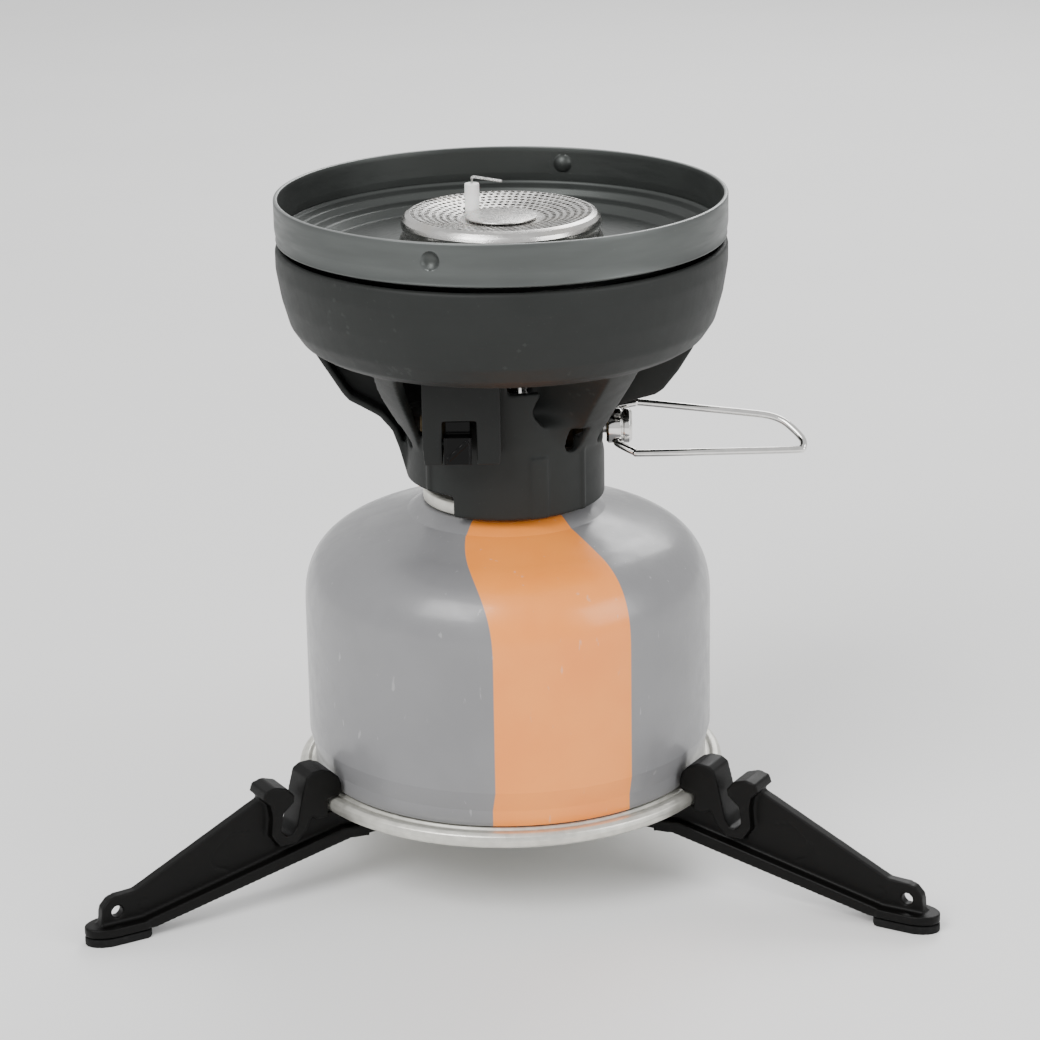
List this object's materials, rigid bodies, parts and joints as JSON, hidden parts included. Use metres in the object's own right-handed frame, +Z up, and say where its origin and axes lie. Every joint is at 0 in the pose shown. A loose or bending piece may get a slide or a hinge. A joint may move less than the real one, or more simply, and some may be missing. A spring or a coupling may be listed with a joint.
{
  "type": "camping stove",
  "caption": "Compact gas camping stove: round burner cup with piezo igniter and wire valve handle, screwed to a small fuel canister in a folding tripod stand.",
  "frame": {"origin": "middle of the footprint's bounding box, on the surface that the three feet stand on; the canister's axis is 24.0 mm towards -Y from it", "axes": "+Z up; -Y is the front, with the igniter button; +X is the right-hand side, with the wire valve handle; one leg points to +Y"},
  "size_m": [0.172, 0.1498, 0.1439],
  "materials": {
    "leg_nylon": "satin moulded black nylon",
    "rubber": "matt black rubber",
    "spring_steel": "plain drawn steel",
    "canister_paint": "semi-gloss printed paint, grey with an orange stripe",
    "tinplate": "satin tin-plated steel",
    "white_plastic": "white moulded plastic",
    "brass": "turned brass",
    "cup_anodised": "dark satin anodising",
    "head_stainless": "bright rolled stainless steel",
    "ceramic": "white glazed ceramic",
    "chrome": "polished chrome plate",
    "housing_plastic": "fine matt dark grey plastic",
    "button_plastic": "glossy black plastic"
  },
  "bodies": {
    "stand": {"canister_body": "canister_paint", "canister_base": "tinplate", "canister_valve_cup": "tinplate", "canister_valve_housing": "white_plastic", "canister_valve_gasket": "rubber", "canister_valve_spring": "spring_steel", "leg_rear": "leg_nylon", "foot_pad_rear": "rubber", "hub_rivet": "spring_steel", "hub_washer": "spring_steel"},
    "leg_left": {"leg_left": "leg_nylon", "foot_pad_left": "rubber"},
    "leg_right": {"leg_right": "leg_nylon", "foot_pad_right": "rubber"},
    "valve_stem": {"canister_valve_stem": "brass"},
    "seal": {"connector_seal": "rubber"},
    "burner": {"burner_cup": "cup_anodised", "burner_housing": "housing_plastic", "burner_cap": "head_stainless", "burner_bowl": "head_stainless", "centre_disc": "head_stainless", "electrode_ceramic": "ceramic", "electrode_wire": "spring_steel", "ignition_lead": "rubber", "mixing_tube": "chrome", "gas_jet": "brass", "valve_body": "brass", "regulator_diaphragm": "rubber", "regulator_cap": "brass", "canister_connector": "brass", "opening_pin": "brass", "spindle_seal": "rubber", "gland_nut": "brass", "cup_screw_1": "spring_steel", "cup_screw_2": "spring_steel", "cup_screw_3": "spring_steel", "igniter_cover": "housing_plastic", "piezo_unit": "housing_plastic", "igniter_spring": "spring_steel"},
    "button": {"igniter_button": "button_plastic"},
    "spindle": {"valve_spindle": "spring_steel", "handle_boss": "chrome"},
    "handle": {"wire_handle": "chrome"}
  },
  "joints": [
    {"name": "leg_left_fold", "type": "hinge", "parent": "stand", "child": "leg_left", "pos_m": [0, -0.02398, 0.0133], "axis": [0, 0, -1], "range_deg": [0, 88]},
    {"name": "leg_right_fold", "type": "hinge", "parent": "stand", "child": "leg_right", "pos_m": [0, -0.02398, 0.0114], "axis": [0, 0, 1], "range_deg": [0, 88]},
    {"name": "valve_stem_lift", "type": "slide", "parent": "stand", "child": "valve_stem", "axis": [0, 0, 1], "range_m": [0, 0.0022], "deforming": ["canister_valve_spring"]},
    {"name": "burner_lift", "type": "slide", "parent": "stand", "child": "seal", "axis": [0, 0, 1], "range_m": [0, 0.00635]},
    {"name": "burner_unscrew", "type": "hinge", "parent": "seal", "child": "burner", "pos_m": [0, -0.02398, 0.0853], "axis": [0, 0, 1], "range_deg": [0, 2520]},
    {"name": "igniter_press", "type": "slide", "parent": "burner", "child": "button", "axis": [0, 0, 1], "range_m": [0, 0.0024], "stiffness_N_per_m": 1000, "deforming": ["igniter_spring"]},
    {"name": "valve_turn", "type": "hinge", "parent": "burner", "child": "spindle", "pos_m": [0.02305, -0.02398, 0.0925], "axis": [1, 0, 0], "range_deg": [0, 720]},
    {"name": "handle_fold", "type": "hinge", "parent": "spindle", "child": "handle", "pos_m": [0.02305, -0.02398, 0.0925], "axis": [0, 0.7071, 0.7071], "range_deg": [-10, 62]}
  ],
  "couplings": [
    {"joint": "burner_lift", "follows": "burner_unscrew", "m_per_rad": 0.00014435},
    {"joint": "valve_stem_lift", "follows": "burner_unscrew", "m_per_rad": 0.00005}
  ]
}
